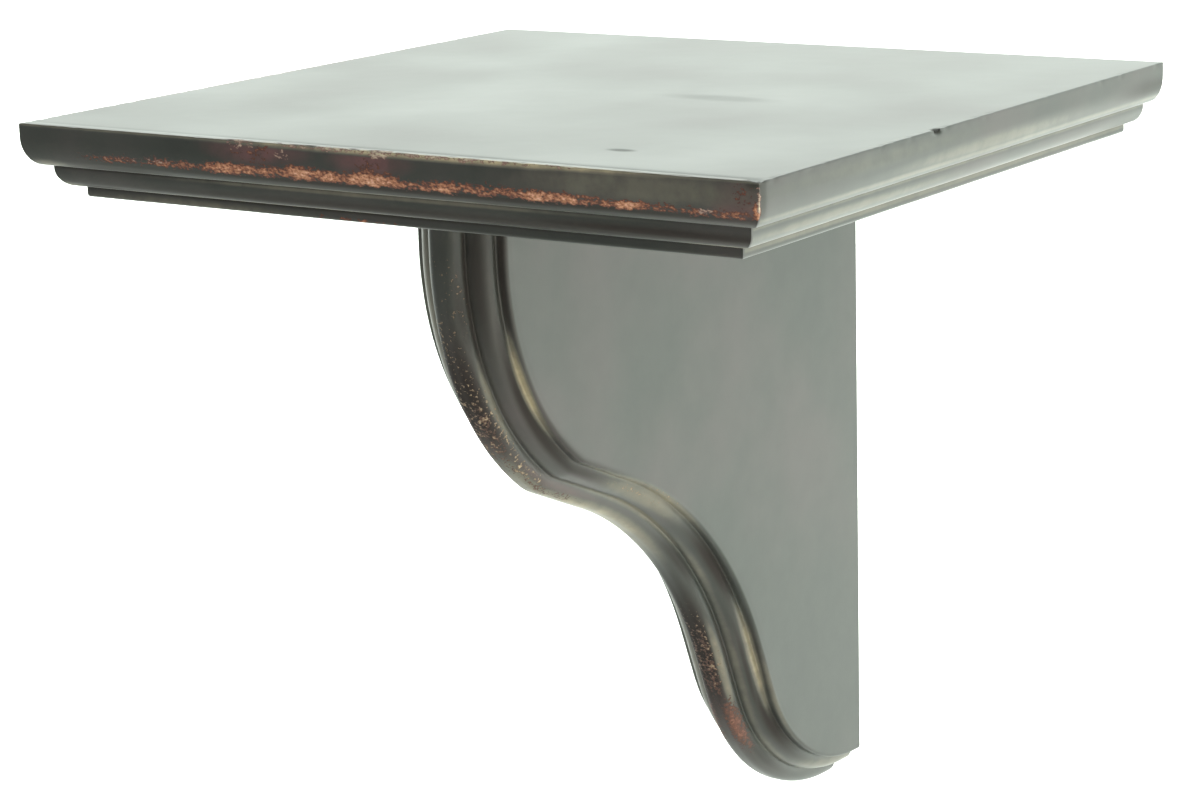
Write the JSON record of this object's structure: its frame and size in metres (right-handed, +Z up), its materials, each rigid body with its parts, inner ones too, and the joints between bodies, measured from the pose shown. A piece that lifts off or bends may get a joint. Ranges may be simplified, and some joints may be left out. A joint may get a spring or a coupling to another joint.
{
  "type": "console bracket",
  "caption": "Bracket shelf: a square board with a stepped moulding on its front and side edges, carried by one upright S-scroll corbel, painted dark and rubbed through at the edges.",
  "frame": {"origin": "middle of the corbel's flat back, the face that is fixed to the wall", "axes": "+Z up, +Y into the wall, +X to the right as seen from the room; the shelf's front edge faces -Y"},
  "size_m": [0.305, 0.299, 0.3128],
  "materials": {
    "shelf_paint": "satin dark grey-green paint on wood, rubbed through to copper-brown along the front edge",
    "corbel_paint": "satin dark grey-green paint on wood, rubbed through to brown on the nose of the scroll"
  },
  "bodies": {
    "root": {"shelf": "shelf_paint", "corbel": "corbel_paint"}
  },
  "joints": []
}
